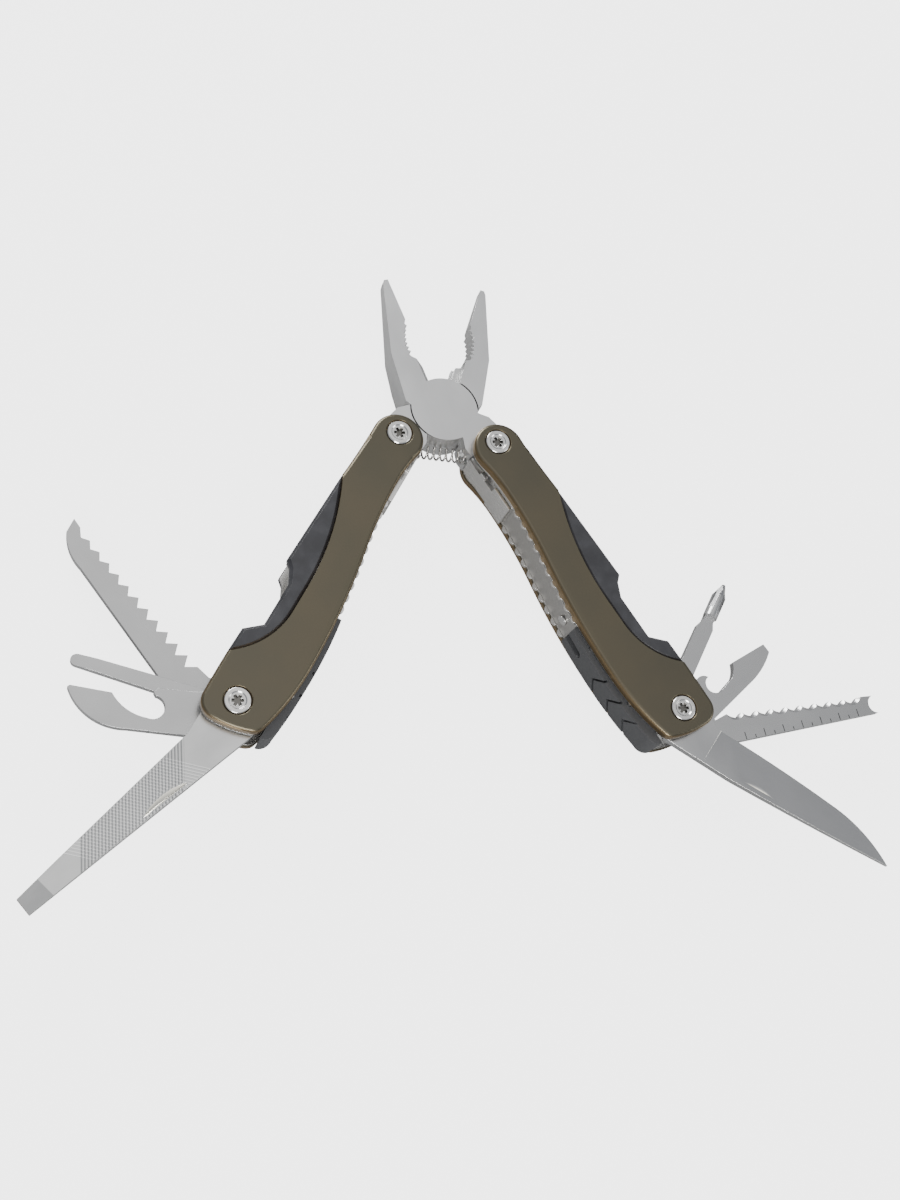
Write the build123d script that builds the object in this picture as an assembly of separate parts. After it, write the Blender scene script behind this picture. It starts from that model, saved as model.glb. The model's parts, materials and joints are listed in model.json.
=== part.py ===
from build123d import *
import os
from math import atan2, cos, degrees, radians, sin

# A folding plier multi tool, laid flat with its jaws, handles and eight tools open.
# Every piece is modelled flat: XY is the tool's plane, +Y points to the jaws, +Z is up,
# and Z = 0 is the face that the tool rests on. All lengths are in millimetres.

# ---------------------------------------------------------------- thicknesses (Z)
SCALE_T = 2.7            # bronze side scale
LINER_T = 1.0            # steel liner plate
CHANNEL = 10.2           # clear width between the two liners
TOOL_T = 2.3             # every folding tool
WASHER_T = 0.2           # shim on each side of a tool
SIDE_GAP = 0.1           # head and web pieces stand this far off the liners
Z_LINER = SCALE_T
Z_CHANNEL = SCALE_T + LINER_T
Z_TOP_LINER = Z_CHANNEL + CHANNEL
Z_TOP_SCALE = Z_TOP_LINER + LINER_T
Z_TOP = Z_TOP_SCALE + SCALE_T
Z_MID = Z_TOP / 2
Z_HEAD_LOW = Z_CHANNEL + SIDE_GAP
Z_HEAD_HIGH = Z_TOP_LINER - SIDE_GAP

# ---------------------------------------------------------------- where the pivots lie
TANG_REACH = 17.75       # jaw pivot to each tang pivot
HANDLE_AB = 90.0         # tool pivot to tang pivot
FRONT_JAW_ANGLE = 112.8  # line on which the front jaw's gripping edge lies
REAR_JAW_ANGLE = 75.3    # the same for the rear jaw, so the mouth stands 37.5 degrees open
TANG_ANGLE = {"right": -35.3, "left": 218.7}
HANDLE_ANGLE = {"right": 125.1, "left": 63.2}  # from the tool pivot towards the tang pivot
SIDES = ("left", "right")

# ---------------------------------------------------------------- pivots and fasteners
BARREL_R = 2.5
BORE_R = 2.56            # running fit on the barrel
BARREL_BORE_R = 1.5
SCREW_R = 1.42
HEAD_R = 3.5
HEAD_T = 1.5
HEAD_POCKET_R = 3.72     # counterbore in the scale
HEAD_POCKET_T = 1.7
HEAD_POCKET_ROUND = 0.3
HEAD_PROUD = 0.12
DISH_R = 2.4
TORX_R = 1.55
TORX_HALF = 0.42
TORX_DEPTH = 1.25
WASHER_R = 4.6
BARREL_LOW = 1.0
BARREL_HEAD_LOW = 0.15
BARREL_BORE_LOW = 4.0
SCREW_LOW = 4.6
SEAT = 0.02              # a head stands this far off its pocket's floor

# ---------------------------------------------------------------- handle
OUTER_SHOULDER = (70.2, 7.35)    # where the inlay starts on the outer edge
OUTER_HEEL = (10.0, 8.7)         # where the inlay ends
INLAY_DEEP_FAR = (36.0, -0.35)
INLAY_DEEP_NEAR = (28.0, -0.35)
INLAY_GAP = 0.08
INLAY_DROP = 0.35                # inlay face below the scale's
NOTCH = ((40.4, 9.5), (40.4, 8.15), (38.6, 6.2), (34.6, 4.3), (21.4, 4.3), (17.4, 8.65), (17.4, 9.5))
SCALE_EDGE_R = 1.0
INLAY_EDGE = 0.8
LINER_INSET = 0.3
SCALLOP_FIRST_X = 36.4
SCALLOP_PITCH = 3.72
SCALLOP_COUNT = 10
SCALLOP_R = 1.5
SCALLOP_PROUD = 0.6

# ---------------------------------------------------------------- inlay pegs, web of the channel
PEG_X = (27.0, 52.0)
PEG_Y = 2.9
PEG_R = 0.9
PEG_CLEAR = 0.05
BLOCK_PINS = ((9.0, -10.9), (27.0, -10.9))
BLOCK_PIN_R = 0.8
BLOCK_NOSE = 41.0
BLOCK_TOP = 34.4
BLOCK_UNDER_LEAF = 0.05          # gap between the block and the leaf that lies over it
SLOT_LENGTH = 5.6                # slot in the spine block's back
SLOT_R = 1.4
SLOT_FLOOR = -11.2
CHEVRON_X = (20.0, 13.0, 6.2)
CHEVRON_WIDTH = 0.8
CHEVRON_LEAN = 3.4
CHEVRON_FLOOR = -12.65
WEB_RIVET_X = 38.6
RIVET_R = 0.9
RIVET_HEAD_R = 1.5
RIVET_CLEAR = 0.03
LEAF_T = 0.6
LEAF_SINK = 0.25                 # leaf below the spine edge of the scales
LEAF_END = 71.9
LEAF_DIMPLE_X = 64.4
LEAF_DIMPLE_R = 0.7
FINGER_T = 0.8
FINGER_Y = -8.5                  # spine face of the finger spring
FINGER_TIP_X = 1.6
FINGER_SLIT = 0.4
FINGER_SLIT_END = 31.0
BRIDGE = (72.2, 90.9)
BRIDGE_STEP_X = 79.6
BRIDGE_Y = (-7.7, -6.25)
BRIDGE_EDGE_DROP = 2.4           # how far the narrow part stands below the front liner
BRIDGE_TAB = (83.6, 85.6)

# ---------------------------------------------------------------- folding tools
BUTT_R = 6.6                     # every tool's round butt
NICK_R = 24.0                    # wheel that mills a thumbnail pull
NICK_SLOPE = 24.0
GRIND_Y = (7.4, -5.6)            # the knife's flat grind runs from its spine to its edge
GRIND_EDGE = 0.12                # half the thickness left at the edge
GRIND_X = (13.0, 75.0)
SAW_TEETH = 12
SAW_PITCH = 3.98
SAW_FIRST = (14.9, -0.54)
SAW_RISE = 0.12                  # each tooth stands this much nearer to the back
SAW_GULLET_Y = 2.15
SCALER_HOLLOWS = 9
SCALER_PITCH = 4.67
SCALER_FIRST = (15.7, 0.7)
SCALER_FALL = 0.31
SCALER_BEVEL = (1.6, 3.0)        # radii of the cone that bevels each hollow, low and high
SCALER_BEVEL_T = 1.3
BIT_R = 2.1
BIT_Y = -0.55
BIT_START = 35.0
BIT_TIP = 46.6
BIT_TAPER = 4.4
BIT_POINT_R = 0.5
FLUTE_WIDTH = 1.7
FLUTE_DEPTH = 2.6

# ---------------------------------------------------------------- head
TANG_R = 6.0
DISC_R = 9.7
LAP_GAP = 0.1                    # between the two half-lap discs
DISC_CLEAR = 0.42
JAW_TIP = {"front": 43.6, "rear": 42.6}
JAW_TAPER = (12.0, 44.0)         # the jaws get thinner between these distances from the pivot
JAW_TAPER_FRONT = 0.6            # what the front face has lost at the tip
JAW_TAPER_REAR = 5.9             # and the rear face
JAW_CLOSE_GAP = 0.12             # each gripping edge stands off the meeting line
CUTTER_LOW = 5.0
CUTTER_TOP = 7.0                 # the rear jaw's cutter passes under the front jaw's
CUTTER_PASS = 0.6
CUTTER_BEVEL = (4.0, 3.0)        # height and width of the front jaw's bevel
PIPE_GRIP = (19.2, 28.6)         # from the first to the last tooth
PIPE_TEETH = 7
PIPE_TOOTH = 1.0
PIPE_DEEP = (20.5, 3.5)          # deepest point of the pipe grip's hollow
PIN_R = 2.6
PIN_BORE_R = 2.66
PIN_COVER = (0.6, 1.2)           # metal left over the pin's blind ends, rear and front

# ---------------------------------------------------------------- jaw spring
SPRING_Y = -11.9
SPRING_HALF = 7.2
SPRING_COIL_R = 1.75
SPRING_WIRE_R = 0.3
SPRING_TURNS = 8
SPRING_HOLE_R = 2.15
SPRING_HOLE_X = 5.5              # middle of each blind hole
SPRING_HOLE_DEPTH = 5.8


def at(angle, reach):
    """A point at a polar angle and distance."""
    return (reach * cos(radians(angle)), reach * sin(radians(angle)))


def face_of(*pieces):
    """A flat face inside a closed chain of lines and arcs."""
    return make_face([edge for piece in pieces for edge in piece.edges()])


def slab(face, low, high):
    """A plate of the face's outline between two heights."""
    return Pos(0, 0, low) * extrude(face, amount=high - low, dir=(0, 0, 1))


def block(x0, x1, y0, y1, z0, z1):
    """A box between its lowest and highest corners."""
    size = (x1 - x0, y1 - y0, z1 - z0)
    return Pos((x0 + x1) / 2, (y0 + y1) / 2, (z0 + z1) / 2) * Box(*size)


def rod(radius, z0, z1, centre=(0, 0)):
    """An upright cylinder."""
    return Pos(centre[0], centre[1], (z0 + z1) / 2) * Cylinder(radius, z1 - z0)


def across(radius, length):
    """A cylinder along Y."""
    return Rot(90, 0, 0) * Cylinder(radius, length)


TANG_PIVOT = {side: at(TANG_ANGLE[side], TANG_REACH) for side in SIDES}
TOOL_PIVOT = {
    side: tuple(a - b for a, b in zip(TANG_PIVOT[side], at(HANDLE_ANGLE[side], HANDLE_AB)))
    for side in SIDES
}


def in_handle(shape, side):
    """Moves a piece from the handle's own frame (x to the tang, y outwards) into place."""
    if side == "right":
        shape = mirror(shape, about=Plane.XZ)
    x, y = TOOL_PIVOT[side]
    return Pos(x, y, 0) * Rot(0, 0, HANDLE_ANGLE[side]) * shape


def in_jaw(shape, jaw):
    """Moves a piece from a jaw's frame (x to its tip, y away from the mouth) into place."""
    if jaw == "rear":
        shape = mirror(shape, about=Plane.XZ)
    return Rot(0, 0, FRONT_JAW_ANGLE if jaw == "front" else REAR_JAW_ANGLE) * shape


# ================================================================= handle outlines
def tangent_chain(start, direction, points):
    """Arcs through the points, each one leaving in the direction in which the last arrived."""
    arcs = []
    for point in points:
        arcs.append(TangentArc([start, point], tangent=direction))
        end = arcs[-1] % 1
        start, direction = point, (end.X, end.Y)
    return arcs


RIM_TOOL_END = ((-2.4, 8.5), (-7.1, 3.8), (-5.2, -7.2), (-3.0, -9.2))
RIM_SPINE = ((17.0, -11.95), (54.0, -8.6), (77.0, -6.5), (87.0, -7.5))
RIM_TANG_END = ((88.4, 6.85), OUTER_SHOULDER)


def rim():
    """The handle's rim from the inlay's heel round the tool end, the spine and the tang end."""
    return tangent_chain(OUTER_HEEL, (-1, 0), (*RIM_TOOL_END, *RIM_SPINE, *RIM_TANG_END))


def inlay_arc():
    """The long hollow curve between the scale and its black inlay."""
    return (
        TangentArc([INLAY_DEEP_FAR, OUTER_SHOULDER], tangent=(1, 0)),
        Line(INLAY_DEEP_FAR, INLAY_DEEP_NEAR),
        TangentArc([INLAY_DEEP_NEAR, OUTER_HEEL], tangent=(-1, 0)),
    )


def whole_outline():
    """The full side view of a handle, without its thumb notch."""
    return face_of(*rim(), Line(OUTER_SHOULDER, OUTER_HEEL))


def scale_outline():
    """The bronze part of the side view."""
    return face_of(*rim(), *inlay_arc())


def notch_cut():
    """The thumb notch through the outer edge, as a tall prism."""
    return slab(face_of(Polyline(*NOTCH, close=True)), -1, Z_TOP + 1)


def outer_edges(solid, z):
    """The outline edges of a plate's face at height z."""
    flat = solid.edges().filter_by_position(Axis.Z, z - 0.01, z + 0.01)
    return [e for e in flat if e.length > 0.2]


def on_inlay(edge):
    """Whether an edge ends at one of the inlay's two deepest corners."""
    corners = (INLAY_DEEP_FAR, INLAY_DEEP_NEAR)
    ends = [edge @ t for t in (0, 1)]
    return any(abs(e.X - x) + abs(e.Y - y) < 0.01 for e in ends for x, y in corners)


# ================================================================= handle pieces
def scale_piece(front):
    """Side scale: rounded outer edge, two pockets for the screw heads."""
    low, high = (Z_TOP_SCALE, Z_TOP) if front else (0, SCALE_T)
    shown = high if front else low
    body = slab(scale_outline(), low, high)
    rim_edges = [e for e in outer_edges(body, shown) if not on_inlay(e)]
    body = fillet(rim_edges, SCALE_EDGE_R)
    for x in (0, HANDLE_AB):
        body -= rod(BORE_R, low - 1, high + 1, (x, 0))
        pocket = (high - HEAD_POCKET_T, high + 1) if front else (low - 1, low + HEAD_POCKET_T)
        body -= rod(HEAD_POCKET_R, *pocket, (x, 0))
    circles = body.edges().filter_by(GeomType.CIRCLE)
    rims = [e for e in circles if e.is_closed and abs(e.center().Z - shown) < 0.01]
    return fillet(rims, HEAD_POCKET_ROUND)


def inlay_piece(front):
    """Black grip inlay in the hollow of the scale, with the thumb notch and two pegs."""
    low, high = (Z_TOP_SCALE, Z_TOP - INLAY_DROP) if front else (INLAY_DROP, SCALE_T)
    outline = whole_outline() - offset(scale_outline(), INLAY_GAP, kind=Kind.INTERSECTION)
    body = slab(outline, low, high) - notch_cut()
    body = max(body.solids(), key=lambda s: s.volume)
    shown = high if front else low
    body = chamfer(outer_edges(body, shown), INLAY_EDGE)
    for x in PEG_X:
        peg = (low - LINER_T + 0.1, low) if front else (high, high + LINER_T - 0.1)
        body += rod(PEG_R, *peg, (x, PEG_Y))
    return body


def liner_piece(front):
    """Steel liner: the handle's side view with scallops along the spine and a thumb notch."""
    low = Z_TOP_LINER if front else Z_LINER
    plate = slab(offset(whole_outline(), -LINER_INSET), low, low + LINER_T) - notch_cut()
    for i in range(SCALLOP_COUNT):
        x = SCALLOP_FIRST_X + i * SCALLOP_PITCH
        plate += rod(SCALLOP_R, low, low + LINER_T, (x, spine_y(x) + SCALLOP_R - SCALLOP_PROUD))
    for x in (0, HANDLE_AB):
        plate -= rod(BORE_R, low - 1, low + 2, (x, 0))
    for x in PEG_X:
        plate -= rod(PEG_R + PEG_CLEAR, low - 1, low + 2, (x, PEG_Y))
    for x, y in BLOCK_PINS:
        plate -= rod(BLOCK_PIN_R, low - 1, low + 2, (x, y))
    return plate


def spine_y(x):
    """Height of the spine edge at x."""
    for arc in rim()[4:8]:
        if (arc @ 0).X <= x <= (arc @ 1).X:
            low, high = 0.0, 1.0
            for _ in range(30):
                mid = (low + high) / 2
                low, high = (mid, high) if (arc @ mid).X < x else (low, mid)
            return (arc @ low).Y
    return RIM_SPINE[-1][1]


# ---------------------------------------------------------------- web of the channel
def spine_block():
    """Black nylon spacer that closes the spine at the tool end, with a slot and chevrons."""
    under = LEAF_SINK + LEAF_T + BLOCK_UNDER_LEAF
    nose, step = [(x, spine_y(x) + under) for x in (BLOCK_NOSE, BLOCK_TOP)]
    outline = face_of(
        ThreePointArc((BLOCK_TOP, -12.3), (16.0, -13.5), (-0.8, -12.4)),
        ThreePointArc((-0.8, -12.4), (-3.4, -11.6), (-4.6, -9.9)),
        Line((-4.6, -9.9), (-4.4, -9.5)),
        Line((-4.4, -9.5), (3.0, -9.5)),
        Line((3.0, -9.5), (6.0, -8.65)),
        Line((6.0, -8.65), (BLOCK_NOSE, -8.55)),
        Line((BLOCK_NOSE, -8.55), nose),
        Line(nose, step),
        Line(step, (BLOCK_TOP, -12.3)),
    )
    body = slab(outline, Z_HEAD_LOW, Z_HEAD_HIGH)
    slot_end = BLOCK_TOP - SLOT_LENGTH
    body -= block(slot_end, BLOCK_TOP + 1, -14, SLOT_FLOOR, Z_MID - SLOT_R, Z_MID + SLOT_R)
    body -= Pos(slot_end, SLOT_FLOOR - 1.4, Z_MID) * across(SLOT_R, 2.8)
    for x in CHEVRON_X:
        for end in (Z_HEAD_LOW - 1, Z_HEAD_HIGH + 1):
            body -= chevron_arm(x, end)
    for x, y in BLOCK_PINS:
        body -= rod(BLOCK_PIN_R + 0.03, 0, Z_TOP, (x, y))
    return body - Pos(WEB_RIVET_X, -9.5, Z_MID) * across(RIVET_R + RIVET_CLEAR, 4)


def chevron_arm(x, z_end):
    """One arm of a V groove in the spine block's back, from its middle line to one side."""
    far = x - CHEVRON_LEAN
    corners = [(x, Z_MID), (x + CHEVRON_WIDTH, Z_MID), (far + CHEVRON_WIDTH, z_end), (far, z_end)]
    plane = Plane(origin=(0, CHEVRON_FLOOR, 0), x_dir=(1, 0, 0), z_dir=(0, -1, 0))
    face = plane * make_face(Polyline(*corners, close=True).edges())
    return extrude(face, amount=2.0, dir=(0, -1, 0))


def web_leaf():
    """Steel leaf that closes the spine between the scalloped liner edges."""
    steps = [BLOCK_TOP + 0.15, 44.0, 54.0, 63.0, LEAF_END]
    outer = [(x, spine_y(x) + LEAF_SINK) for x in steps]
    inner = [(x, y + LEAF_T) for x, y in reversed(outer)]
    outline = face_of(
        Spline(*outer), Line(outer[-1], inner[0]), Spline(*inner), Line(inner[-1], outer[0])
    )
    body = slab(outline, Z_HEAD_LOW, Z_HEAD_HIGH)
    body -= Pos(WEB_RIVET_X, spine_y(WEB_RIVET_X), Z_MID) * across(RIVET_R + RIVET_CLEAR, 4)
    return body - Pos(LEAF_DIMPLE_X, spine_y(LEAF_DIMPLE_X) + LEAF_SINK, Z_MID) * Sphere(LEAF_DIMPLE_R)


def finger_spring():
    """Four-fingered back spring: each finger presses one tool's tang."""
    body = block(FINGER_TIP_X, BLOCK_NOSE, FINGER_Y, FINGER_Y + FINGER_T, Z_HEAD_LOW, Z_HEAD_HIGH)
    for i in (1, 2, 3):
        z = tool_low(4 - i) - WASHER_T / 2
        slit = (z - FINGER_SLIT / 2, z + FINGER_SLIT / 2)
        body -= block(0, FINGER_SLIT_END, FINGER_Y - 1, FINGER_Y + 2, *slit)
    return body - Pos(WEB_RIVET_X, FINGER_Y, Z_MID) * across(RIVET_R + RIVET_CLEAR, 4)


def web_rivet():
    """Rivet through leaf, block and finger spring."""
    low, high = spine_y(WEB_RIVET_X) + 0.05, FINGER_Y + FINGER_T
    shank = Pos(WEB_RIVET_X, (low + high) / 2, Z_MID) * across(RIVET_R, high - low)
    head = Pos(WEB_RIVET_X, low - 0.2, Z_MID) * across(RIVET_HEAD_R, 0.4)
    tail = Pos(WEB_RIVET_X, high + 0.15, Z_MID) * across(RIVET_HEAD_R, 0.3)
    return shank + head + tail


def bridge_plate():
    """Steel bridge behind the tang: its end face stops the tang's heel when the handle is open."""
    wide = block(BRIDGE[0], BRIDGE_STEP_X, *BRIDGE_Y, Z_CHANNEL, Z_TOP_LINER)
    edge = Z_TOP_LINER - BRIDGE_EDGE_DROP
    narrow = block(BRIDGE_STEP_X, BRIDGE[1], *BRIDGE_Y, Z_CHANNEL + 0.9, edge)
    tab = block(*BRIDGE_TAB, *BRIDGE_Y, Z_MID, edge + BRIDGE_EDGE_DROP / 2)
    return wide + narrow + tab


def block_pins():
    """Two cross pins that hold the spine block between the liners."""
    return [rod(BLOCK_PIN_R - 0.03, Z_LINER + 0.02, Z_TOP_SCALE - 0.02, p) for p in BLOCK_PINS]


# ---------------------------------------------------------------- pivots
def barrel():
    """Pivot barrel: the head sits in the rear scale, and the front end takes the screw."""
    body = rod(BARREL_R, BARREL_LOW, Z_TOP - HEAD_POCKET_T - SEAT)
    body += rod(HEAD_R, BARREL_HEAD_LOW, HEAD_POCKET_T - SEAT)
    return body - rod(BARREL_BORE_R, BARREL_BORE_LOW, Z_TOP)


def screw():
    """Star-socket screw with a dished head that sits in the front scale."""
    top = Z_TOP + HEAD_PROUD
    body = rod(HEAD_R, top - HEAD_T, top)
    body = chamfer(body.edges().group_by(Axis.Z)[-1], 0.25)
    body -= Pos(0, 0, top - 0.16) * Cone(DISH_R - 0.35, DISH_R, 0.34)
    body += rod(SCREW_R, SCREW_LOW, top - HEAD_T)
    ray = block(-TORX_R, TORX_R, -TORX_HALF, TORX_HALF, top - TORX_DEPTH, top + 1)
    for i in range(3):
        body -= Rot(0, 0, 60 * i) * ray
    return body


def tool_low(layer):
    """Underside of the tool in a layer, counted from the front (0) to the back (3)."""
    return Z_TOP_LINER - WASHER_T - TOOL_T - layer * (TOOL_T + WASHER_T)


def shims():
    """Five shim washers round the tool barrel, one on each side of every tool."""
    rings = []
    for i in range(5):
        low = Z_CHANNEL + i * (TOOL_T + WASHER_T) + 0.01
        rings.append(rod(WASHER_R, low, low + WASHER_T - 0.02) - rod(BORE_R, 0, Z_TOP))
    return rings


# ================================================================= folding tools
# Each tool lies stowed in its own frame: x from the pivot to its tip, y to the handle's open side.
def tool_plate(layer, *pieces):
    """A tool's plate at its layer, with its pivot bore."""
    low = tool_low(layer)
    return slab(face_of(*pieces), low, low + TOOL_T) - rod(BORE_R, low - 1, low + TOOL_T + 1)


def butt(open_side, web_side):
    """The round butt: from its web-side tangent, behind the pivot, to the open-side shoulder."""
    return (
        ThreePointArc((0, -BUTT_R), (-BUTT_R, 0), (0, BUTT_R)),
        Line((0, BUTT_R), (0.5, open_side[1])),
        Line((0.5, open_side[1]), open_side),
        Line(web_side, (0, -BUTT_R)),
    )


def knife():
    """Drop-point blade with a flat grind, a ricasso and a nail nick."""
    spine, choil, tip = (22.0, 7.3), (11.5, -3.2), (71.6, 0)
    body = tool_plate(
        0,
        *butt((3.0, 8.7), (9.5, -4.2)),
        Line((3.0, 8.7), spine),
        ThreePointArc(spine, (50.0, 3.4), tip),
        ThreePointArc(tip, (63.0, -3.7), (50.0, -5.35)),
        ThreePointArc((50.0, -5.35), (30.0, -4.7), choil),
        Line(choil, (9.5, -4.2)),
    )
    high = tool_low(0) + TOOL_T
    mid = high - TOOL_T / 2
    plane = Plane(origin=(GRIND_X[0], 0, 0), x_dir=(0, 1, 0), z_dir=(1, 0, 0))
    for up in (1, -1):
        start, edge, clear = mid + up * TOOL_T / 2, mid + up * GRIND_EDGE, mid + up * TOOL_T
        corners = ((GRIND_Y[0], clear), (GRIND_Y[0], start), (GRIND_Y[1], edge), (GRIND_Y[1], clear))
        face = plane * make_face(Polyline(*corners, close=True).edges())
        body -= extrude(face, amount=GRIND_X[1] - GRIND_X[0], dir=(1, 0, 0))
    return body - nail_nick((24.5, 5.6), (36.0, 4.2), high)


def nail_nick(start, end, top):
    """A thumbnail pull: a tilted disc's cut, steep towards the spine and running out to the edge."""
    a, b = Vector(*start), Vector(*end)
    middle, reach = (a + b) / 2, (b - a).length / 2
    sink = NICK_R - (NICK_R**2 - reach**2) ** 0.5
    cutter = Pos(0, -1.5, NICK_R - sink) * Rot(90, 0, 0) * Cylinder(NICK_R, 3.0)
    lean = degrees(atan2(b.Y - a.Y, b.X - a.X))
    return Pos(middle.X, middle.Y, top) * Rot(0, 0, lean) * Rot(-NICK_SLOPE, 0, 0) * cutter


def file_tool():
    """Flat file with a ground driver tip and a nail nick."""
    body = tool_plate(
        0,
        *butt((3.0, 8.7), (14.0, -3.0)),
        Line((3.0, 8.7), (70.7, 2.8)),
        Line((70.7, 2.8), (70.2, -2.0)),
        Line((70.2, -2.0), (14.0, -3.0)),
    )
    low = tool_low(0)
    tip = Pos(0, 0, low + TOOL_T) * Rot(0, 5.0, 0) * block(0, 20, -6, 9, 0, 3)
    body -= Pos(58.5, 0, 0) * tip
    return body - nail_nick((22.5, 6.0), (36.5, 4.8), low + TOOL_T)


def can_opener():
    """Can opener: a hooked blade with a deep bay behind it."""
    return tool_plate(
        1,
        *butt((3.0, 8.8), (9.0, -2.8)),
        Line((3.0, 8.8), (26.0, 9.0)),
        ThreePointArc((26.0, 9.0), (36.5, 6.3), (41.6, 0.1)),
        Line((41.6, 0.1), (41.1, -0.4)),
        Line((41.1, -0.4), (30.6, 0.2)),
        ThreePointArc((30.6, 0.2), (26.5, 4.0), (21.2, 5.6)),
        ThreePointArc((21.2, 5.6), (17.2, 2.9), (19.9, -0.4)),
        Line((19.9, -0.4), (20.5, -1.3)),
        Line((20.5, -1.3), (19.6, -2.4)),
        Line((19.6, -2.4), (9.0, -2.8)),
    )


def small_driver():
    """Narrow flat driver with a rounded, thinned tip."""
    body = tool_plate(
        2,
        *butt((3.0, 6.4), (8.0, -3.0)),
        Line((3.0, 6.4), (12.0, 1.6)),
        Line((12.0, 1.6), (41.2, 1.0)),
        ThreePointArc((41.2, 1.0), (42.7, -0.6), (41.2, -2.2)),
        Line((41.2, -2.2), (8.0, -3.0)),
    )
    low = tool_low(2)
    tip = Pos(0, 0, low + TOOL_T) * Rot(0, 7.0, 0) * block(0, 20, -6, 9, 0, 3)
    return body - Pos(36.5, 0, 0) * tip


def saw():
    """Wood saw with deep square teeth and a rounded back at its tip."""
    teeth = []
    for i in range(SAW_TEETH):
        x = SAW_FIRST[0] + i * SAW_PITCH
        teeth += [(x, SAW_FIRST[1] + i * SAW_RISE), (x + SAW_PITCH / 2, SAW_GULLET_Y)]
    row = Polyline((10.8, -1.1), *teeth, (63.1, 0.6), (66.0, 0.4))
    return tool_plate(
        3,
        *butt((3.0, 8.9), (7.5, -5.0)),
        Line((3.0, 8.9), (19.0, 9.0)),
        Line((19.0, 9.0), (54.0, 7.3)),
        ThreePointArc((54.0, 7.3), (60.8, 6.2), (64.1, 4.2)),
        Line((64.1, 4.2), (66.0, 0.4)),
        row,
        Line((10.8, -1.1), (7.5, -5.0)),
    )


def fish_scaler():
    """Fish scaler and ruler: hollow scallops along one edge and a forked hook remover at its end."""
    x0, y0 = SCALER_FIRST
    row = [(12.0, 2.3)]
    for i in range(SCALER_HOLLOWS):
        x, y = x0 + i * SCALER_PITCH, y0 - i * SCALER_FALL
        row += [(x, y), (x + 3.0, y + 1.15)]
    body = tool_plate(
        1,
        *butt((3.0, 8.8), (9.0, -2.0)),
        Line((3.0, 8.8), (17.8, 8.7)),
        Line((17.8, 8.7), (63.5, 2.6)),
        ThreePointArc((63.5, 2.6), (60.8, 0.2), (62.4, -2.4)),
        Line((62.4, -2.4), (57.8, -2.2)),
        Polyline(*row, (57.8, -2.2)),
        Line((12.0, 2.3), (9.0, -2.0)),
    )
    z = tool_low(1) + TOOL_T - SCALER_BEVEL_T / 2
    for i in range(SCALER_HOLLOWS):
        middle = (x0 + (i + 0.55) * SCALER_PITCH, y0 - i * SCALER_FALL - 1.2)
        body -= Pos(*middle, z) * Cone(*SCALER_BEVEL, SCALER_BEVEL_T)
    return body


def bottle_opener():
    """Bottle opener: a flat driver head over a round bay with a small wire hook."""
    body = tool_plate(
        2,
        *butt((3.0, 8.4), (7.0, -4.2)),
        Line((3.0, 8.4), (11.0, 7.6)),
        Line((11.0, 7.6), (27.5, 5.6)),
        ThreePointArc((27.5, 5.6), (34.2, 3.9), (39.3, 1.1)),
        Line((39.3, 1.1), (38.6, -1.0)),
        Line((38.6, -1.0), (26.4, -2.0)),
        ThreePointArc((26.4, -2.0), (25.0, 0.0), (23.0, 1.5)),
        Line((23.0, 1.5), (17.6, 2.5)),
        ThreePointArc((17.6, 2.5), (14.9, 0.4), (16.4, -2.6)),
        Line((16.4, -2.6), (17.2, -2.7)),
        ThreePointArc((17.2, -2.7), (15.6, -4.1), (13.4, -3.9)),
        Line((13.4, -3.9), (7.0, -4.2)),
    )
    low = tool_low(2)
    body -= Pos(27.0, 0, low) * Rot(0, -11.5, 0) * block(0, 20, -6, 9, -3, 0)
    return body - block(34.0, 41.0, -6, 9, low - 1, low + 1.42)


def cross_driver():
    """Cross-head driver: a flat shank with a necked, fluted round bit."""
    body = tool_plate(
        3,
        *butt((3.0, 6.2), (8.0, -3.2)),
        Line((3.0, 6.2), (14.0, 1.8)),
        Line((14.0, 1.8), (31.6, 1.8)),
        Line((31.6, 1.8), (33.6, 1.0)),
        Line((33.6, 1.0), (36.0, 1.0)),
        Line((36.0, 1.0), (36.0, -2.1)),
        Line((36.0, -2.1), (33.4, -2.1)),
        Line((33.4, -2.1), (31.0, -3.0)),
        Line((31.0, -3.0), (8.0, -3.2)),
    )
    round_end = BIT_TIP - BIT_TAPER
    bit = Pos((BIT_START + round_end) / 2, 0, 0) * Rot(0, 90, 0) * Cylinder(BIT_R, round_end - BIT_START)
    bit += Pos(BIT_TIP - BIT_TAPER / 2, 0, 0) * Rot(0, 90, 0) * Cone(BIT_R, BIT_POINT_R, BIT_TAPER)
    flute = Pos(BIT_TIP, 0, 2.0) * Rot(0, 6, 0) * Box(18, FLUTE_WIDTH, FLUTE_DEPTH)
    for quarter in range(4):
        bit -= Rot(45 + 90 * quarter, 0, 0) * flute
    return body + Pos(0, BIT_Y, tool_low(3) + BIT_R - 0.08) * bit


RIGHT_TOOLS = {
    # name: (maker, degrees out of the handle at rest, degrees it sinks past the handle's axis)
    "knife_blade": (knife, 158.4, 2.1),
    "fish_scaler": (fish_scaler, 117.8, 3.5),
    "bottle_opener": (bottle_opener, 87.9, 0.0),
    "cross_driver": (cross_driver, 61.3, 0.0),
}
LEFT_TOOLS = {
    "file": (file_tool, 164.9, 2.8),
    "can_opener": (can_opener, 113.7, 0.0),
    "small_driver": (small_driver, 103.2, 0.0),
    "wood_saw": (saw, 68.0, 5.2),
}
TOOLS = {"left": LEFT_TOOLS, "right": RIGHT_TOOLS}


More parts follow.
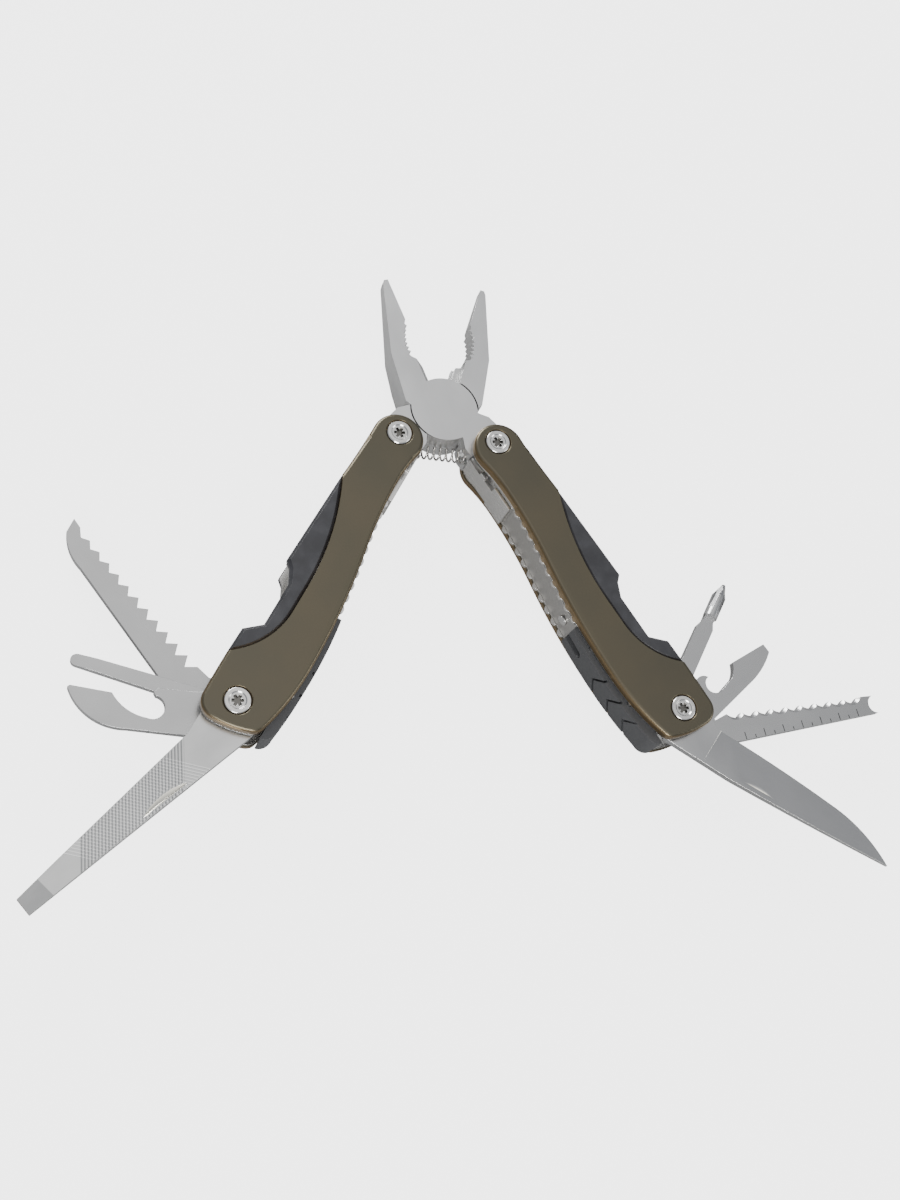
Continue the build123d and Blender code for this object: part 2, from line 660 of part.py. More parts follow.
# ================================================================= plier head
def jaw_profile(which):
    """A jaw's side view: gripping edge with pipe grip and cutter, and the outer edge."""
    tip = JAW_TIP[which]
    step = {"front": 15.3, "rear": 17.0}[which]
    pitch = (PIPE_GRIP[1] - PIPE_GRIP[0]) / PIPE_TEETH
    teeth = []
    for i in range(PIPE_TEETH):
        x = PIPE_GRIP[0] + i * pitch
        hollow = PIPE_DEEP[1] - 0.045 * (x - PIPE_DEEP[0]) ** 2
        teeth += [(x, hollow + 0.1), (x + pitch * 0.45, hollow - PIPE_TOOTH)]
    root = [(2.0, JAW_CLOSE_GAP), (step, JAW_CLOSE_GAP), (18.2, 3.0)]
    nose = [(28.6, 0.9), (29.9, JAW_CLOSE_GAP), (tip, JAW_CLOSE_GAP), (tip + 0.1, 1.3), (tip - 1.0, 2.0)]
    back = [(20.5, 8.4), (5.4, 10.0), (2.0, 8.0)]
    return face_of(Polyline(*root, *teeth, *nose, *back, close=True))


def tang_profile(side):
    """A tang's side view in the handle's frame: butt, heel, shoulder, and the neck to the disc."""
    ox, oy = tang_to_pivot(side)
    heel = [(1.1, -5.9), (1.1, -7.6), (3.6, -7.8), (6.8, -6.4)]
    shoulder = [(10.8, 2.3), (8.6, 4.2), (3.0, 5.5)]
    neck = [(ox - 1.0, oy - 6.0), (ox, oy), (ox - 2.0, oy + 6.5)]
    outline = face_of(Polyline(*heel, *neck, *shoulder, (0, 0), close=True))
    return Pos(HANDLE_AB, 0) * (outline + Circle(TANG_R))


def tang_to_pivot(side):
    """The jaw pivot as seen from the tang pivot, in the handle's frame."""
    world = TANG_ANGLE[side] + 180 - HANDLE_ANGLE[side]
    x, y = at(world, TANG_REACH)
    return (x, y) if side == "left" else (x, -y)


def taper_wedges():
    """What the taper takes off both faces of a jaw towards its tip."""
    wedges = []
    plane = Plane(origin=(0, 20, 0), x_dir=(1, 0, 0), z_dir=(0, -1, 0))
    for face_z, up, drop in ((Z_HEAD_HIGH, 1, JAW_TAPER_FRONT), (Z_HEAD_LOW, -1, JAW_TAPER_REAR)):
        clear = face_z + up * 2
        start, end = JAW_TAPER
        corners = ((start, face_z), (end, face_z - up * drop), (end, clear), (start, clear))
        face = plane * make_face(Polyline(*corners, close=True).edges())
        wedges.append(extrude(face, amount=40, dir=(0, -1, 0)))
    return wedges


def jaw(which):
    """One half of the plier head: jaw, half-lap disc and tang in one forging."""
    side = "right" if which == "front" else "left"
    body = slab(jaw_profile(which), Z_HEAD_LOW, Z_HEAD_HIGH)
    for wedge in taper_wedges():
        body -= wedge
    if which == "front":
        body -= cutter_bevel()
        body -= block(8.0, 18.4, -0.5, CUTTER_PASS + 0.2, 0, CUTTER_TOP + 0.25)
    else:
        body -= block(8.0, 17.6, -0.5, 2.0, Z_MID + 0.2, Z_TOP)
        body += block(10.5, 17.0, -CUTTER_PASS, 1.0, CUTTER_LOW, CUTTER_TOP)
    body = in_jaw(body, which) + in_handle(slab(tang_profile(side), Z_HEAD_LOW, Z_HEAD_HIGH), side)
    front_low, rear_high = Z_MID + LAP_GAP / 2, Z_MID - LAP_GAP / 2
    own = (front_low, Z_HEAD_HIGH) if which == "front" else (Z_HEAD_LOW, rear_high)
    other = (Z_HEAD_LOW - 1, front_low) if which == "front" else (rear_high, Z_HEAD_HIGH + 1)
    body -= rod(DISC_R + DISC_CLEAR, *other)
    body += rod(DISC_R, *own)
    body -= rod(PIN_BORE_R, Z_HEAD_LOW + PIN_COVER[0], Z_HEAD_HIGH - PIN_COVER[1])
    body -= rod(BORE_R, 0, Z_TOP, TANG_PIVOT[side])
    hole_x = SPRING_HOLE_X if side == "right" else -SPRING_HOLE_X
    hole = Pos(hole_x, SPRING_Y, Z_MID) * Rot(0, 90, 0)
    return body - hole * Cylinder(SPRING_HOLE_R, SPRING_HOLE_DEPTH)


def cutter_bevel():
    """The bevel that sharpens the front jaw's wire cutter."""
    plane = Plane(origin=(9.0, 0, 0), x_dir=(0, 1, 0), z_dir=(1, 0, 0))
    deep, wide = CUTTER_BEVEL
    top = Z_HEAD_HIGH + 0.1
    corners = [(-1, Z_HEAD_HIGH - deep), (wide - 1, top), (-1, top)]
    return extrude(plane * make_face(Polyline(*corners, close=True).edges()), amount=8.0, dir=(1, 0, 0))


def jaw_pin():
    """Hidden pivot pin of the half-lap joint."""
    return rod(PIN_R, Z_HEAD_LOW + PIN_COVER[0] + 0.05, Z_HEAD_HIGH - PIN_COVER[1] - 0.05)


def jaw_spring():
    """Coil spring between the two tangs, its ends in their blind holes."""
    pitch = 2 * SPRING_HALF / SPRING_TURNS
    path = Helix(pitch=pitch, height=2 * SPRING_HALF, radius=SPRING_COIL_R)
    start = Plane(origin=path @ 0, z_dir=path % 0)
    coil = sweep(start * Circle(SPRING_WIRE_R), path=path, is_frenet=True)
    return Pos(-SPRING_HALF, SPRING_Y, Z_MID) * Rot(0, 90, 0) * coil


# ================================================================= the whole tool
def build():
    """All pieces in place, as {node name: shape or list of shapes}."""
    nodes = {
        "front_jaw": jaw("front"),
        "rear_jaw": jaw("rear"),
        "jaw_pin": jaw_pin(),
        "jaw_spring": jaw_spring(),
    }
    for side in SIDES:
        for face, front in (("front", True), ("rear", False)):
            nodes[f"{side}_{face}_scale"] = in_handle(scale_piece(front), side)
            nodes[f"{side}_{face}_inlay"] = in_handle(inlay_piece(front), side)
            nodes[f"{side}_{face}_liner"] = in_handle(liner_piece(front), side)
        nodes[f"{side}_web_leaf"] = in_handle(web_leaf(), side)
        nodes[f"{side}_finger_spring"] = in_handle(finger_spring(), side)
        nodes[f"{side}_web_rivet"] = in_handle(web_rivet(), side)
        nodes[f"{side}_spine_block"] = in_handle(spine_block(), side)
        nodes[f"{side}_block_pins"] = [in_handle(pin, side) for pin in block_pins()]
        nodes[f"{side}_bridge_plate"] = in_handle(bridge_plate(), side)
        nodes[f"{side}_tool_barrel"] = in_handle(barrel(), side)
        nodes[f"{side}_tool_screw"] = in_handle(screw(), side)
        nodes[f"{side}_tool_shims"] = [in_handle(ring, side) for ring in shims()]
        nodes[f"{side}_tang_barrel"] = in_handle(Pos(HANDLE_AB, 0, 0) * barrel(), side)
        nodes[f"{side}_tang_screw"] = in_handle(Pos(HANDLE_AB, 0, 0) * screw(), side)
        for name, (maker, rest, _) in TOOLS[side].items():
            nodes[name] = in_handle(Rot(0, 0, rest) * maker(), side)
    return nodes


def solids_of(shape):
    """The separate solids of one node."""
    return [s for one in (shape if isinstance(shape, list) else [shape]) for s in one.solids()]


def centred(nodes):
    """Moves every node so that the origin is under the middle of the whole tool."""
    boxes = [s.bounding_box() for shape in nodes.values() for s in solids_of(shape)]
    low = [min(getattr(b.min, k) for b in boxes) for k in "XYZ"]
    high = [max(getattr(b.max, k) for b in boxes) for k in "XYZ"]
    shift = (-(low[0] + high[0]) / 2, -(low[1] + high[1]) / 2, -low[2])
    return shift, {name: [Pos(*shift) * s for s in solids_of(shape)] for name, shape in nodes.items()}


if __name__ == "__main__":
    os.makedirs("parts", exist_ok=True)
    for NAME, SOLIDS in centred(build())[1].items():
        PIECE = SOLIDS[0] if len(SOLIDS) == 1 else Compound(children=SOLIDS)
        export_step(PIECE, f"parts/{NAME}.step")
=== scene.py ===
import bpy
import bmesh
import json
from math import atan2, cos, radians, sin
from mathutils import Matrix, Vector


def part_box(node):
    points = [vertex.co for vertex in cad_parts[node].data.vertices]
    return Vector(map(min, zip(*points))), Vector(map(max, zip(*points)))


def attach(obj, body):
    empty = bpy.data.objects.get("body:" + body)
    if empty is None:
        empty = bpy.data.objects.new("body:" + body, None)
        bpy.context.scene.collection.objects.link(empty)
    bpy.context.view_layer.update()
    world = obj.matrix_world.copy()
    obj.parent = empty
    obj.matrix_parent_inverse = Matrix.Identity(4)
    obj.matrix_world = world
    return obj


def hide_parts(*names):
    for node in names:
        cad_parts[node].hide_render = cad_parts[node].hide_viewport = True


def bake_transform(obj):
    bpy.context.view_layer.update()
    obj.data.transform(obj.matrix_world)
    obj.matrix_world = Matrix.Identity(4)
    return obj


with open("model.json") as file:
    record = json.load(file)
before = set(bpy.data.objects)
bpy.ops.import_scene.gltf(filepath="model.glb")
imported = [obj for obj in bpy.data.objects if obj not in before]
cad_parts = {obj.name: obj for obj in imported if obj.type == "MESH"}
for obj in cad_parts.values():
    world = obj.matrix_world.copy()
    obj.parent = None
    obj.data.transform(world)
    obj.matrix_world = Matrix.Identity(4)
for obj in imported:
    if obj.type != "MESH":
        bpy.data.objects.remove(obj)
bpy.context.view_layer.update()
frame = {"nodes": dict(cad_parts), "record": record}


# ------------------------------------------------------------------ camera
# The lens looks down on the tool from the lower left, about 26 degrees off square, as a
# catalogue picture would be taken from 0.38 m above the table with a portrait frame.
behaviour = frame["record"]["behaviour"]
joints = {joint["name"]: joint for joint in behaviour["joints"]}
jaw_pivot = Vector(joints["jaw_pivot"]["pos_m"])
left_of_pivot, below_pivot, above_table = 0.0974, 0.2022, 0.3789
camera_data = bpy.data.cameras.new("camera")
camera_data.lens = 45.12
camera_data.dof.use_dof = False
camera = bpy.data.objects.new("camera", camera_data)
camera.location = (jaw_pivot.x - left_of_pivot, jaw_pivot.y - below_pivot, above_table)
camera.rotation_euler = (radians(20.907), radians(-15.158), 0)
bpy.context.collection.objects.link(camera)
bpy.context.scene.camera = camera


# ------------------------------------------------------------------ side scales
# Aluminium scales, blasted and anodised a dark bronze, and held by the two screws of their
# handle. The rounded rims carry a warmer gold, a painted highlight.
class Field:
    """A value in a node tree. Formulas on it add Math nodes, and node() adds any other node."""

    def __init__(self, tree, socket=None):
        self.tree = tree
        self.socket = socket

    def node(self, kind, inputs, out=0, **settings):
        """A node of this type, its settings first, then its sockets' values or links."""
        made = self.tree.nodes.new(kind)
        for key, value in settings.items():
            setattr(made, key, value)
        for key, value in inputs.items():
            if isinstance(value, Field):
                self.tree.links.new(value.socket, made.inputs[key])
            else:
                made.inputs[key].default_value = value
        return Field(self.tree, made.outputs[out] if made.outputs else None)

    def math(self, operation, *others):
        return self.node("ShaderNodeMath", dict(enumerate((self, *others))), operation=operation)

    def __add__(self, other):
        return self.math("ADD", other)

    __radd__ = __add__

    def __sub__(self, other):
        return self.math("SUBTRACT", other)

    def __rsub__(self, other):
        return self.node("ShaderNodeMath", {0: other, 1: self}, operation="SUBTRACT")

    def __mul__(self, other):
        return self.math("MULTIPLY", other)

    __rmul__ = __mul__

    def __abs__(self):
        return self.math("ABSOLUTE")

    def wave(self):
        """Swings between 0 and 1, this value being the angle."""
        return self.math("SINE") * 0.5 + 0.5

    def step(self, low, high, start=0.0, end=1.0):
        """Goes smoothly from start to end as this value goes from low to high."""
        inputs = {"Value": self, "From Min": low, "From Max": high, "To Min": start, "To Max": end}
        return self.node("ShaderNodeMapRange", inputs, interpolation_type="SMOOTHSTEP")

    def between(self, low, high, soft):
        """1 from low to high, and 0 a soft width outside them."""
        return self.step(low - soft, low) * self.step(high, high + soft, 1.0, 0.0)

    def blend(self, low, high):
        """A colour between two, this value being the share of the second."""
        inputs = {0: self, 6: (*low, 1), 7: (*high, 1)}
        return self.node("ShaderNodeMix", inputs, out=2, data_type="RGBA")

    def split(self):
        return [self.node("ShaderNodeSeparateXYZ", {0: self}, out=axis) for axis in "XYZ"]


class Finish:
    """A material, with coordinates in millimetres along a piece that lies at an angle."""

    def __init__(self, name, origin=(0, 0, 0), angle=0.0, side=1):
        self.material = bpy.data.materials.new(name)
        self.material.use_nodes = True
        self.tree = self.material.node_tree
        self.shader = self.tree.nodes["Principled BSDF"]
        inputs = {
            "Vector": Field(self.tree).node("ShaderNodeTexCoord", {}, out="Object"),
            "Location": origin,
            "Rotation": (0, 0, angle),
            "Scale": (0.001, 0.001 * side, 0.001),
        }
        self.place = Field(self.tree).node("ShaderNodeMapping", inputs, vector_type="TEXTURE")
        self.x, self.y, self.z = self.place.split()

    def noise(self, scale, stretch=(1, 1, 1), detail=3.0, rough=0.5):
        """Cloudy variation, scale being cells per millimetre."""
        inputs = {0: self.place, 1: stretch}
        at = self.place.node("ShaderNodeVectorMath", inputs, operation="MULTIPLY")
        inputs = {"Vector": at, "Scale": scale, "Detail": detail, "Roughness": rough}
        return self.place.node("ShaderNodeTexNoise", inputs)

    def level(self):
        """1 on faces that look straight up or down, 0 on upright walls."""
        return abs(self.place.node("ShaderNodeTexCoord", {}, out="Normal").split()[2])

    def sides(self):
        """0 on the flats, rising over rounded rims to 1 on upright walls."""
        return self.level().step(0.2, 0.995, 1.0, 0.0)

    def wear(self, height=None, depth=0.0, **values):
        """Sets the surface: a bump's height and its depth in millimetres, and named sockets."""
        if height is not None:
            inputs = {"Strength": 1.0, "Distance": depth * 0.001, "Height": height}
            values["Normal"] = height.node("ShaderNodeBump", inputs)
        for key, value in values.items():
            socket = self.shader.inputs[key.replace("_", " ")]
            if isinstance(value, Field):
                self.tree.links.new(value.socket, socket)
            else:
                socket.default_value = value


def handle_place(side):
    """A handle's tool pivot, its direction to the tang, and which way its open side looks."""
    fold = joints[side + "_handle_fold"]["pos_m"]
    tool = "wood_saw_fold" if side == "left" else "knife_blade_fold"
    pivot = joints[tool]["pos_m"]
    angle = atan2(fold[1] - pivot[1], fold[0] - pivot[0])
    return pivot, angle, 1 if side == "left" else -1


def shaped(name, mesh):
    piece = bpy.data.objects.new(name, mesh)
    bpy.context.collection.objects.link(piece)
    return piece


def applied(piece):
    """Bakes a piece's modifiers into its mesh."""
    graph = bpy.context.evaluated_depsgraph_get()
    mesh = bpy.data.meshes.new_from_object(piece.evaluated_get(graph))
    piece.modifiers.clear()
    piece.data = mesh
    return piece


owner = {name: body for body, names in behaviour["bodies"].items() for name in names}


def finished(node, finish, arris):
    """A merged copy of a CAD node, its sharp arrises broken, that rides and stands for it."""
    source = frame["nodes"][node]
    work = bmesh.new()
    work.from_mesh(source.data)
    bmesh.ops.remove_doubles(work, verts=work.verts, dist=2e-6)
    bmesh.ops.dissolve_limit(work, angle_limit=radians(0.4), verts=work.verts, edges=work.edges)
    mesh = bpy.data.meshes.new(node + "_finish")
    work.to_mesh(mesh)
    work.free()
    piece = shaped("fine_" + node, mesh)
    bevel = piece.modifiers.new("arris", "BEVEL")
    bevel.width = arris * 0.001
    bevel.segments = 2
    bevel.limit_method = "ANGLE"
    bevel.angle_limit = radians(32)
    bevel.use_clamp_overlap = True
    applied(piece)
    piece.data.materials.clear()
    piece.data.materials.append(finish.material)
    piece.data.shade_smooth()
    smooth = piece.modifiers.new("smooth", "WEIGHTED_NORMAL")
    smooth.keep_sharp = True
    piece.data.set_sharp_from_angle(angle=radians(40))
    applied(piece)
    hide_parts(node)
    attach(piece, owner[node])


for side in ("left", "right"):
    for face in ("front", "rear"):
        bronze = Finish(f"bronze_{side}_{face}", *handle_place(side))
        rim = bronze.sides()
        clouds = bronze.noise(0.05, detail=4)
        blasted = bronze.noise(6.0, detail=2)
        # Rims and walls are painted a warmer gold as a painted highlight; the clouds add a faint random
        # tone.
        rim_highlight_and_tone = rim * 0.7 + clouds.step(0.3, 0.75) * 0.07
        bronze.wear(
            blasted, 0.006,
            Base_Color=rim_highlight_and_tone.blend((0.104, 0.095, 0.070), (0.290, 0.200, 0.098)),
            Metallic=0.9,
            Roughness=clouds.step(0.3, 0.7, 0.33, 0.40) - rim * 0.06,
        )
        finished(f"{side}_{face}_scale", bronze, 0.1)


# ------------------------------------------------------------------ black inlays
# Grips moulded in near-black plastic, with a satin skin and a crisp chamfered rim. Each sits in
# its scale's curved edge and is pegged into the liner under it.
for side in ("left", "right"):
    for face in ("front", "rear"):
        grip = Finish(f"inlay_{side}_{face}", *handle_place(side))
        pebble = grip.noise(5.0, detail=3)
        scuff = grip.noise(0.2, detail=5)
        grip.wear(
            pebble, 0.012,
            Base_Color=scuff.step(0.3, 0.8).blend((0.018, 0.018, 0.021), (0.035, 0.035, 0.040)),
            Roughness=scuff.step(0.3, 0.75, 0.34, 0.50),
            Specular_IOR_Level=0.55,
        )
        finished(f"{side}_{face}_inlay", grip, 0.12)


# ------------------------------------------------------------------ spine blocks
# Spacers of dark grey glass-filled nylon, slightly rough from the mould. Two cross pins and a
# rivet hold each one between its liners.
for side in ("left", "right"):
    nylon = Finish(f"nylon_{side}", *handle_place(side))
    grit = nylon.noise(8.0, detail=4)
    nylon.wear(
        grit, 0.02,
        Base_Color=grit.step(0.35, 0.7).blend((0.040, 0.041, 0.043), (0.070, 0.071, 0.074)),
        Roughness=grit.step(0.3, 0.7, 0.42, 0.56),
    )
    finished(f"{side}_spine_block", nylon, 0.16)


# ------------------------------------------------------------------ liners and leaves
# The steel frame inside a handle: two liners with scalloped spines, the duller leaf between
# them, and the bridge behind the tang, all stamped from rolled sheet and then brushed.
def steel(name, place, tone, rough, grain=0.001):
    """Steel with fine lines along a part, broad bands of polish and painted reflection, and rims and
    walls painted brighter as a highlight.
    """
    metal = Finish(name, *place)
    lines = metal.noise(9.0, stretch=(0.03, 1, 1), detail=2)
    metal.bands = metal.noise(0.09, stretch=(0.5, 1, 1), detail=4, rough=0.6)
    # Colour: the broad bands are partly real polish and partly painted reflection, and rims and walls are
    # painted brighter as a painted highlight.
    shade = metal.bands * 0.75 + lines * 0.07 + metal.sides() * 0.25
    metal.wear(
        lines, grain,
        Base_Color=shade.blend([value * 0.86 for value in tone], [value * 1.2 for value in tone]),
        Metallic=1.0,
        Roughness=lines.step(0.25, 0.75, rough - 0.01, rough + 0.02) + metal.bands * 0.08,
    )
    return metal


def dress(node, finish):
    """Paints a CAD node that stays as it is."""
    source = frame["nodes"][node]
    if not source.material_slots:
        source.data.materials.append(None)
    for place in source.material_slots:
        place.link = "OBJECT"
        place.material = finish.material


for side in ("left", "right"):
    rolled = steel(f"liner_{side}", handle_place(side), (0.70, 0.69, 0.67), 0.22)
    dull = steel(f"leaf_{side}", handle_place(side), (0.44, 0.43, 0.41), 0.30)
    for part, metal, arris in (
        ("front_liner", rolled, 0.18),
        ("rear_liner", rolled, 0.18),
        ("web_leaf", dull, 0.1),
        ("bridge_plate", rolled, 0.12),
    ):
        finished(f"{side}_{part}", metal, arris)
    for part in ("finger_spring", "tool_shims", "block_pins"):
        dress(f"{side}_{part}", rolled)


# ------------------------------------------------------------------ plier head
# Two forged jaws, ground flat on their faces and tumbled. Their discs lap half over each other
# and turn on one pin, and each tang behind them carries a handle.
for which, points_at in (("front_jaw", 112.8), ("rear_jaw", 75.3)):
    place = (tuple(jaw_pivot), radians(points_at), 1)
    head = steel(which + "_steel", place, (0.68, 0.68, 0.675), 0.30, grain=0.0015)
    finished(which, head, 0.18)
dress("jaw_pin", head)


# ------------------------------------------------------------------ folding tools
# Eight tools of hardened stainless steel, stamped and ground along their length, four to a
# handle. They turn on the handle's barrel, and their milled thumbnail pulls carry a painted highlight.
def tool_place(name):
    """A tool's pivot, its direction at rest, and which way its open side looks."""
    side = "left" if joints[name + "_fold"]["axis"][2] < 0 else "right"
    pivot, angle, turn = handle_place(side)
    out = 180 + joints[name + "_fold"]["range_deg"][0]
    return pivot, angle + turn * radians(out), turn


def chisel_cuts(blade, along, aside, start, end):
    """Rows 0.8 mm apart on the flat faces, lying square to the direction (along, aside)."""
    radians_per_mm = 7.85
    at = blade.x * along + blade.y * aside
    row = (at * radians_per_mm).wave().math("POWER", 2.5)
    return row * at.between(start, end, 0.1) * blade.level().step(0.97, 0.99)


tools = ["knife_blade", "fish_scaler", "bottle_opener", "cross_driver"]
tools += ["file", "can_opener", "small_driver", "wood_saw"]
for name in tools:
    blade = steel(name + "_steel", tool_place(name), (0.50, 0.50, 0.50), 0.22)
    if name == "file":
        # The first family of cuts leans forward and cuts deep, the second leans back, cuts
        # lightly and runs further towards both ends. The tip is ground smooth for a driver.
        deep = chisel_cuts(blade, 0.729, -0.684, 13.2, 38.1)
        light = chisel_cuts(blade, 0.848, 0.530, 17.6, 46.2)
        ground_tip_shade = blade.x.step(63.6, 63.9)
        # Painted shade darkens the deep cuts and the ground tip, and the light cuts are painted brighter
        # as a painted glint.
        shade = blade.bands * 0.4 + 0.42 - deep * 0.42 + light * 0.40 - ground_tip_shade * 0.4
        blade.wear(
            deep * -1.0 - light * 0.7, 0.06,
            Base_Color=shade.blend((0.20, 0.205, 0.21), (0.86, 0.86, 0.85)),
            Roughness=(deep + light) * 0.1 + 0.25,
        )
    if name in ("file", "knife_blade"):
        # The pull's sloping floor, and rims as steep, get a painted cream highlight, picked out by how
        # far off level they look.
        pull_highlight = blade.level().between(0.86, 0.975, 0.01)
        ground = Field(blade.tree, blade.shader.inputs["Base Color"].links[0].from_socket)
        inputs = {0: pull_highlight, 6: ground, 7: (0.98, 0.95, 0.84, 1)}
        blade.wear(
            Base_Color=pull_highlight.node("ShaderNodeMix", inputs, out=2, data_type="RGBA"),
            Roughness=pull_highlight.step(0, 1, 0.25, 0.12),
        )
    finished(name, blade, 0.1)


# ------------------------------------------------------------------ ruler marks
# Plain graduations etched dark along the scaler's straight edge, alternately long and short.
# A row of points along the edge carries one thin mark each, a millimetre long before it is
# stretched to its own length.
def recipe(name, kinds):
    """A Geometry Nodes tree with one geometry output, and its named inputs as values."""
    tree = bpy.data.node_groups.new(name, "GeometryNodeTree")
    tree.interface.new_socket("Geometry", in_out="OUTPUT", socket_type="NodeSocketGeometry")
    for key, kind in kinds.items():
        tree.interface.new_socket(key, in_out="INPUT", socket_type="NodeSocket" + kind)
    return [Field(tree).node("NodeGroupInput", {}, out=key) for key in kinds]


def grown(name, shape, paint, values):
    """Ends a recipe in real painted geometry, and makes a plain mesh piece from its values."""
    real = shape.node("GeometryNodeRealizeInstances", {0: shape})
    painted = shape.node("GeometryNodeSetMaterial", {"Geometry": real, "Material": paint})
    painted.node("NodeGroupOutput", {0: painted})
    piece = shaped(name, bpy.data.meshes.new(name))
    growth = piece.modifiers.new("growth", "NODES")
    growth.node_group = shape.tree
    for item in shape.tree.interface.items_tree:
        if item.in_out == "INPUT":
            growth[item.identifier] = values[item.name]
    return applied(piece)


kinds = {"Marks": "Int", "Pitch": "Float", "Mark length": "Float", "Ink": "Material"}
marks_used, pitch_used, length_used, ink_used = recipe("ruler", kinds)
mark_width, unit, mark_depth = 0.00024, 0.001, 0.00004
offset = pitch_used.node("ShaderNodeCombineXYZ", {"X": pitch_used})
line = offset.node("GeometryNodeMeshLine", {"Count": marks_used, "Offset": offset})
mark = line.node("GeometryNodeMeshCube", {"Size": (mark_width, unit, mark_depth)})
hung = mark.node("GeometryNodeTransform", {"Geometry": mark, "Translation": (0, -unit / 2, 0)})
odd = hung.node("GeometryNodeInputIndex", {}).math("MODULO", 2)
stretch = odd.node("ShaderNodeCombineXYZ", {"X": 1, "Y": (1 - odd * 0.55) * length_used, "Z": 1})
inputs = {"Points": line, "Instance": hung, "Scale": stretch}
row = stretch.node("GeometryNodeInstanceOnPoints", inputs)

ink = Finish("etched_marks", *tool_place("fish_scaler"))
burn = ink.noise(3.0, detail=3)
ink.wear(
    burn, 0.003,
    Base_Color=burn.blend((0.012, 0.012, 0.013), (0.03, 0.029, 0.028)),
    Roughness=burn.step(0.3, 0.7, 0.45, 0.6),
)
values = {"Marks": 13, "Pitch": 0.00306, "Mark length": 2.1, "Ink": ink.material}
marks = grown("fine_ruler_marks", row, ink_used, values)

pivot, angle, turn = tool_place("fish_scaler")
first_mark, straight_edge, edge_slope = 0.0204, 0.00836, radians(-7.6)
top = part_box("fish_scaler")[1][2]
for vertex in marks.data.vertices:
    # From the row's own line to the tool's straight edge, then out to where the tool lies.
    x, y = vertex.co.x, vertex.co.y - mark_width / 2
    along = first_mark + x * cos(edge_slope) - y * sin(edge_slope)
    out = straight_edge + x * sin(edge_slope) + y * cos(edge_slope)
    vertex.co.x = pivot[0] + along * cos(angle) - turn * out * sin(angle)
    vertex.co.y = pivot[1] + along * sin(angle) + turn * out * cos(angle)
    vertex.co.z += top
if turn < 0:
    marks.data.flip_normals()
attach(marks, "fish_scaler")


# ------------------------------------------------------------------ pivots
# Polished steel screws with a star socket painted dark as shade, turned with fine rings round their own
# axes.
# Each goes into a barrel whose head shows on the back, and one rivet a side holds the leaf.
head_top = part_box("left_tool_screw")[1][2] * 1000
for side in ("left", "right"):
    fold = joints[side + "_handle_fold"]["pos_m"]
    for part, centre in (("tool", handle_place(side)[0]), ("tang", fold)):
        turned = Finish(f"turned_{side}_{part}", (centre[0], centre[1], 0))
        radius = (turned.x * turned.x + turned.y * turned.y).math("SQRT")
        rings = (radius * 38.0).wave() * 0.5 + turned.noise(4.0) * 0.5
        sunk = turned.z.step(head_top - 0.7, head_top - 0.2, 1.0, 0.0)
        # The sunken star socket is painted dark, a painted shade in the recess.
        socket = radius.step(1.5, 2.0, 1.0, 0.0) * sunk
        shade = rings * 0.3 + 0.7 - socket * 0.8
        turned.wear(
            rings, 0.004,
            Base_Color=shade.blend((0.12, 0.115, 0.105), (0.80, 0.79, 0.77)),
            Metallic=1.0,
            Roughness=rings.step(0.2, 0.8, 0.14, 0.24),
        )
        finished(f"{side}_{part}_screw", turned, 0.08)
        finished(f"{side}_{part}_barrel", turned, 0.08)
    finished(f"{side}_web_rivet", turned, 0.08)


# ------------------------------------------------------------------ jaw spring
# Drawn spring wire wound in a plain coil between the two tangs; its ends sit in their holes.
# The coil is a spiral with a round profile, so its wire is even and smooth.
low, high = (Vector(corner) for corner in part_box("jaw_spring"))
middle = (low + high) / 2
wire_radius, end_gap = 0.00029, 0.0003
kinds = {key: "Float" for key in ("Length", "Turns", "Coil radius", "Wire radius")}
kinds["Metal"] = "Material"
length_used, turns_used, coil_used, wire_used, metal_used = recipe("coil", kinds)
inputs = {
    "Resolution": 40,
    "Height": length_used,
    "Rotations": turns_used,
    "Start Radius": coil_used,
    "End Radius": coil_used,
}
spiral = coil_used.node("GeometryNodeCurveSpiral", inputs)
inputs = {"Resolution": 14, "Radius": wire_used}
profile = wire_used.node("GeometryNodeCurvePrimitiveCircle", inputs)
inputs = {"Curve": spiral, "Profile Curve": profile, "Fill Caps": True}
tube = spiral.node("GeometryNodeCurveToMesh", inputs)
smooth_tube = tube.node("GeometryNodeSetShadeSmooth", {"Geometry": tube})

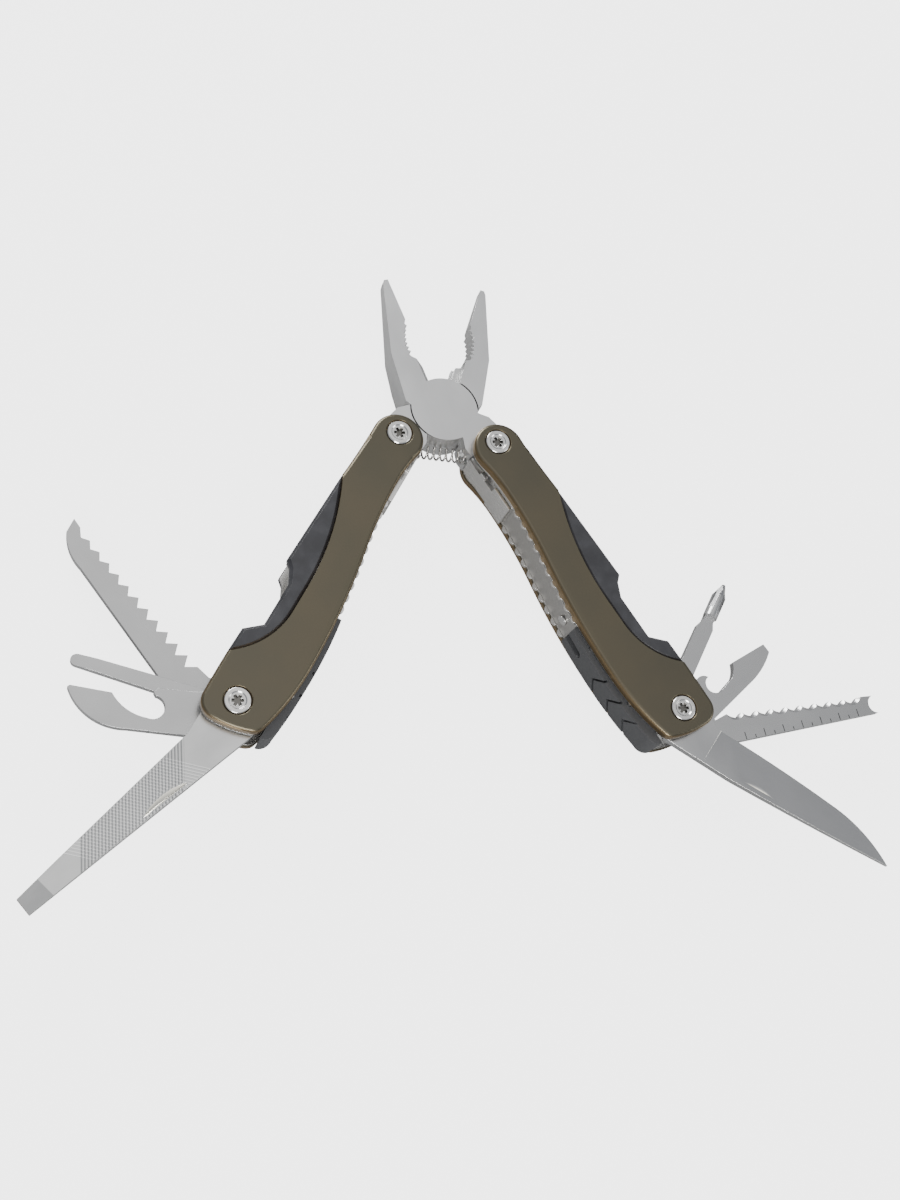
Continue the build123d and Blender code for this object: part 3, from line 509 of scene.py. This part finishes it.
wire = Finish("spring_wire", tuple(middle))
drawn = wire.noise(3.0, detail=3)
wire.wear(
    drawn, 0.004,
    Base_Color=drawn.blend((0.40, 0.385, 0.36), (0.62, 0.60, 0.57)),
    Metallic=1.0,
    Roughness=drawn.step(0.3, 0.7, 0.14, 0.22),
)
values = {
    "Length": high.x - low.x - 2 * end_gap,
    "Turns": 8.0,
    "Coil radius": (high.y - low.y) / 2 - wire_radius,
    "Wire radius": wire_radius,
    "Metal": wire.material,
}
spring = grown("fine_spring", smooth_tube, metal_used, values)
for vertex in spring.data.vertices:
    # From a coil standing on the origin to one lying along X between the tangs.
    x, y, z = vertex.co
    vertex.co = (low.x + end_gap + z, middle.y + x, middle.z + y)
spring.data.flip_normals()
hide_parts("jaw_spring")
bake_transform(spring)


# ------------------------------------------------------------------ table and light
# A plain paper sweep that glows pale for the lens alone and stays dim for the metal above it.
# The room is grey with one broad soft box overhead, and three soft lamps stand round the tool.
reach, under = 3, -0.0004
corners = [(-reach, -reach, under), (reach, -reach, under), (reach, reach, under), (-reach, reach, under)]
floor_mesh = bpy.data.meshes.new("table")
floor_mesh.from_pydata(corners, [], [(0, 1, 2, 3)])
table = shaped("table", floor_mesh)
paper = Finish("paper")
fibres = paper.noise(0.8, detail=4)
seen_by_lens = fibres.node("ShaderNodeLightPath", {}, out="Is Camera Ray")
paper.wear(
    fibres, 0.01,
    Base_Color=fibres.blend((0.26, 0.26, 0.26), (0.30, 0.30, 0.30)),
    Roughness=0.8,
    Emission_Color=seen_by_lens.blend((0.03, 0.03, 0.03), (1.0, 1.0, 1.0)),
    Emission_Strength=3.6,
)
floor_mesh.materials.append(paper.material)

world = bpy.data.worlds.new("studio")
bpy.context.scene.world = world
world.use_nodes = True
room = world.node_tree.nodes["Background"]
around = Field(world.node_tree).node("ShaderNodeTexCoord", {}, out="Generated")
east, _, height = around.split()
soft_box = height.step(0.70, 0.93) * east.step(0.12, 0.55, 1.0, 0.5)
tint = soft_box.blend((0.30, 0.31, 0.33), (1.0, 1.0, 1.0))
world.node_tree.links.new(tint.socket, room.inputs["Color"])
room.inputs["Strength"].default_value = 1.3
for name, place, watts in (
    ("key", (-0.35, 0.95, 0.50), 12),
    ("fill", (1.0, -0.2, 0.45), 3),
    ("front", (-0.2, -0.9, 0.5), 9),
):
    lamp_data = bpy.data.lights.new(name, "AREA")
    lamp_data.size = 0.5
    lamp_data.energy = watts
    lamp = bpy.data.objects.new(name, lamp_data)
    lamp.location = place
    lamp.rotation_euler = Vector(place).to_track_quat("Z", "Y").to_euler()
    bpy.context.collection.objects.link(lamp)
